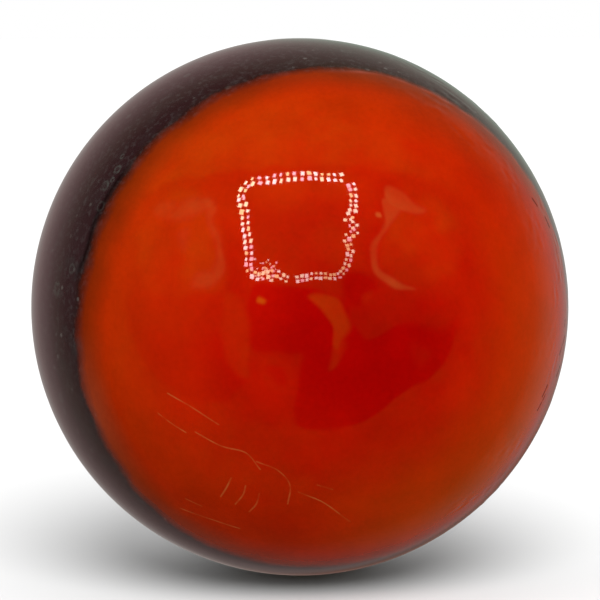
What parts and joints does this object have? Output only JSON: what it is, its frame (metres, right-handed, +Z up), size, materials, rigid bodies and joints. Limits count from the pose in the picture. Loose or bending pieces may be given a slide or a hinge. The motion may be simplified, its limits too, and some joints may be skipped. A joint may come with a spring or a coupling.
{
  "type": "golf ball",
  "caption": "Smooth lacquered golf ball with a red-orange cap on a dark body, built as a nested core, mantle, cover, cap and clear coat.",
  "frame": {"origin": "centre of the ball", "axes": "+Z up, -Y out through the pole of the orange cap; the cap, the cover and the clear coat are turned about Y"},
  "size_m": [0.0426, 0.0427, 0.0426],
  "materials": {
    "clear_lacquer": "clear high gloss",
    "orange_lacquer": "high gloss under the clear coat",
    "dark_cover": "high gloss under the clear coat",
    "mantle_resin": "as moulded",
    "outer_core_rubber": "matt",
    "inner_core_rubber": "matt"
  },
  "bodies": {
    "root": {"clear_coat": "clear_lacquer", "orange_cap": "orange_lacquer", "cover_front_cup": "dark_cover", "cover_rear_cup": "dark_cover", "mantle_upper_cup": "mantle_resin", "mantle_lower_cup": "mantle_resin", "outer_core_left_cup": "outer_core_rubber", "outer_core_right_cup": "outer_core_rubber", "inner_core": "inner_core_rubber"}
  },
  "joints": []
}
